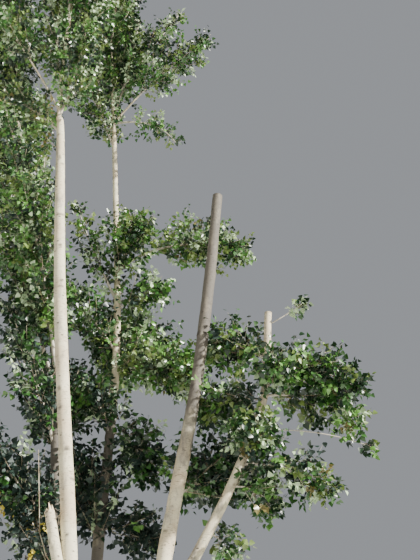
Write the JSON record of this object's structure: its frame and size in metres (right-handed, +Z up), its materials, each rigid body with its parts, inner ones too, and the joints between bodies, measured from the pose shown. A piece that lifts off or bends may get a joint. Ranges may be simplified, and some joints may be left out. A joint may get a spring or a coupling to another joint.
{
  "type": "multi-stemmed lombardy poplar tree",
  "caption": "Tall narrow poplar growing as a clump of upright pale stems from a flared butt, some stems topped or split, with open sprays of glossy triangular leaves.",
  "frame": {"origin": "middle of the flat cut at ground level, under the butt", "axes": "+Z up along the stems, +X to the right of the pictured view, +Y away from it"},
  "size_m": [4.2831, 3.0119, 13.5687],
  "materials": {
    "bark": "smooth pale bark with dark knots and ring scars, rough and darker low down, pale cut wood at the topped ends",
    "foliage": "glossy green leaves on thin pale twigs"
  },
  "bodies": {
    "root": {"trunk": "bark", "stem_tall": "bark", "stem_middle": "bark", "stem_topped": "bark", "stem_left": "bark", "stem_side": "bark", "stub_split": "bark", "bough_arch": "bark", "bough_high_right": "bark", "bough_tall_outer": "bark", "foliage_right_top": "foliage", "foliage_right_middle": "foliage", "foliage_right_thin": "foliage", "foliage_right_low": "foliage", "foliage_right_foot": "foliage", "foliage_right_skirt": "foliage", "foliage_inner_middle": "foliage", "foliage_inner_top": "foliage", "foliage_front_middle": "foliage", "foliage_front_top": "foliage", "foliage_peak_twig": "foliage", "foliage_arch": "foliage", "foliage_under_arch": "foliage", "foliage_middle_right_top": "foliage", "foliage_middle_left_top": "foliage", "foliage_middle_left": "foliage", "foliage_middle_right": "foliage", "foliage_middle_right_low": "foliage", "foliage_middle_inner": "foliage", "foliage_low_left": "foliage", "foliage_low_right": "foliage", "foliage_high_right": "foliage", "foliage_high_right_top": "foliage", "foliage_high_hanging": "foliage", "foliage_middle_crown": "foliage", "foliage_high_middle_right": "foliage", "foliage_high_middle_left": "foliage", "foliage_middle_back": "foliage", "foliage_tall_outer": "foliage", "foliage_tall_outer_low": "foliage", "foliage_tall_second": "foliage", "foliage_tall_right": "foliage", "foliage_tall_front": "foliage", "foliage_tall_back": "foliage", "foliage_tall_crown": "foliage", "foliage_left_inner": "foliage", "foliage_left_outer": "foliage", "foliage_left_upper": "foliage", "foliage_left_crown": "foliage", "foliage_left_middle": "foliage", "foliage_left_low": "foliage", "foliage_left_front": "foliage", "foliage_left_front_top": "foliage", "foliage_left_back": "foliage", "foliage_base_right": "foliage", "foliage_base_back": "foliage", "foliage_base_left": "foliage", "foliage_back_topped": "foliage", "foliage_back_middle": "foliage", "foliage_back_left": "foliage"}
  },
  "joints": []
}
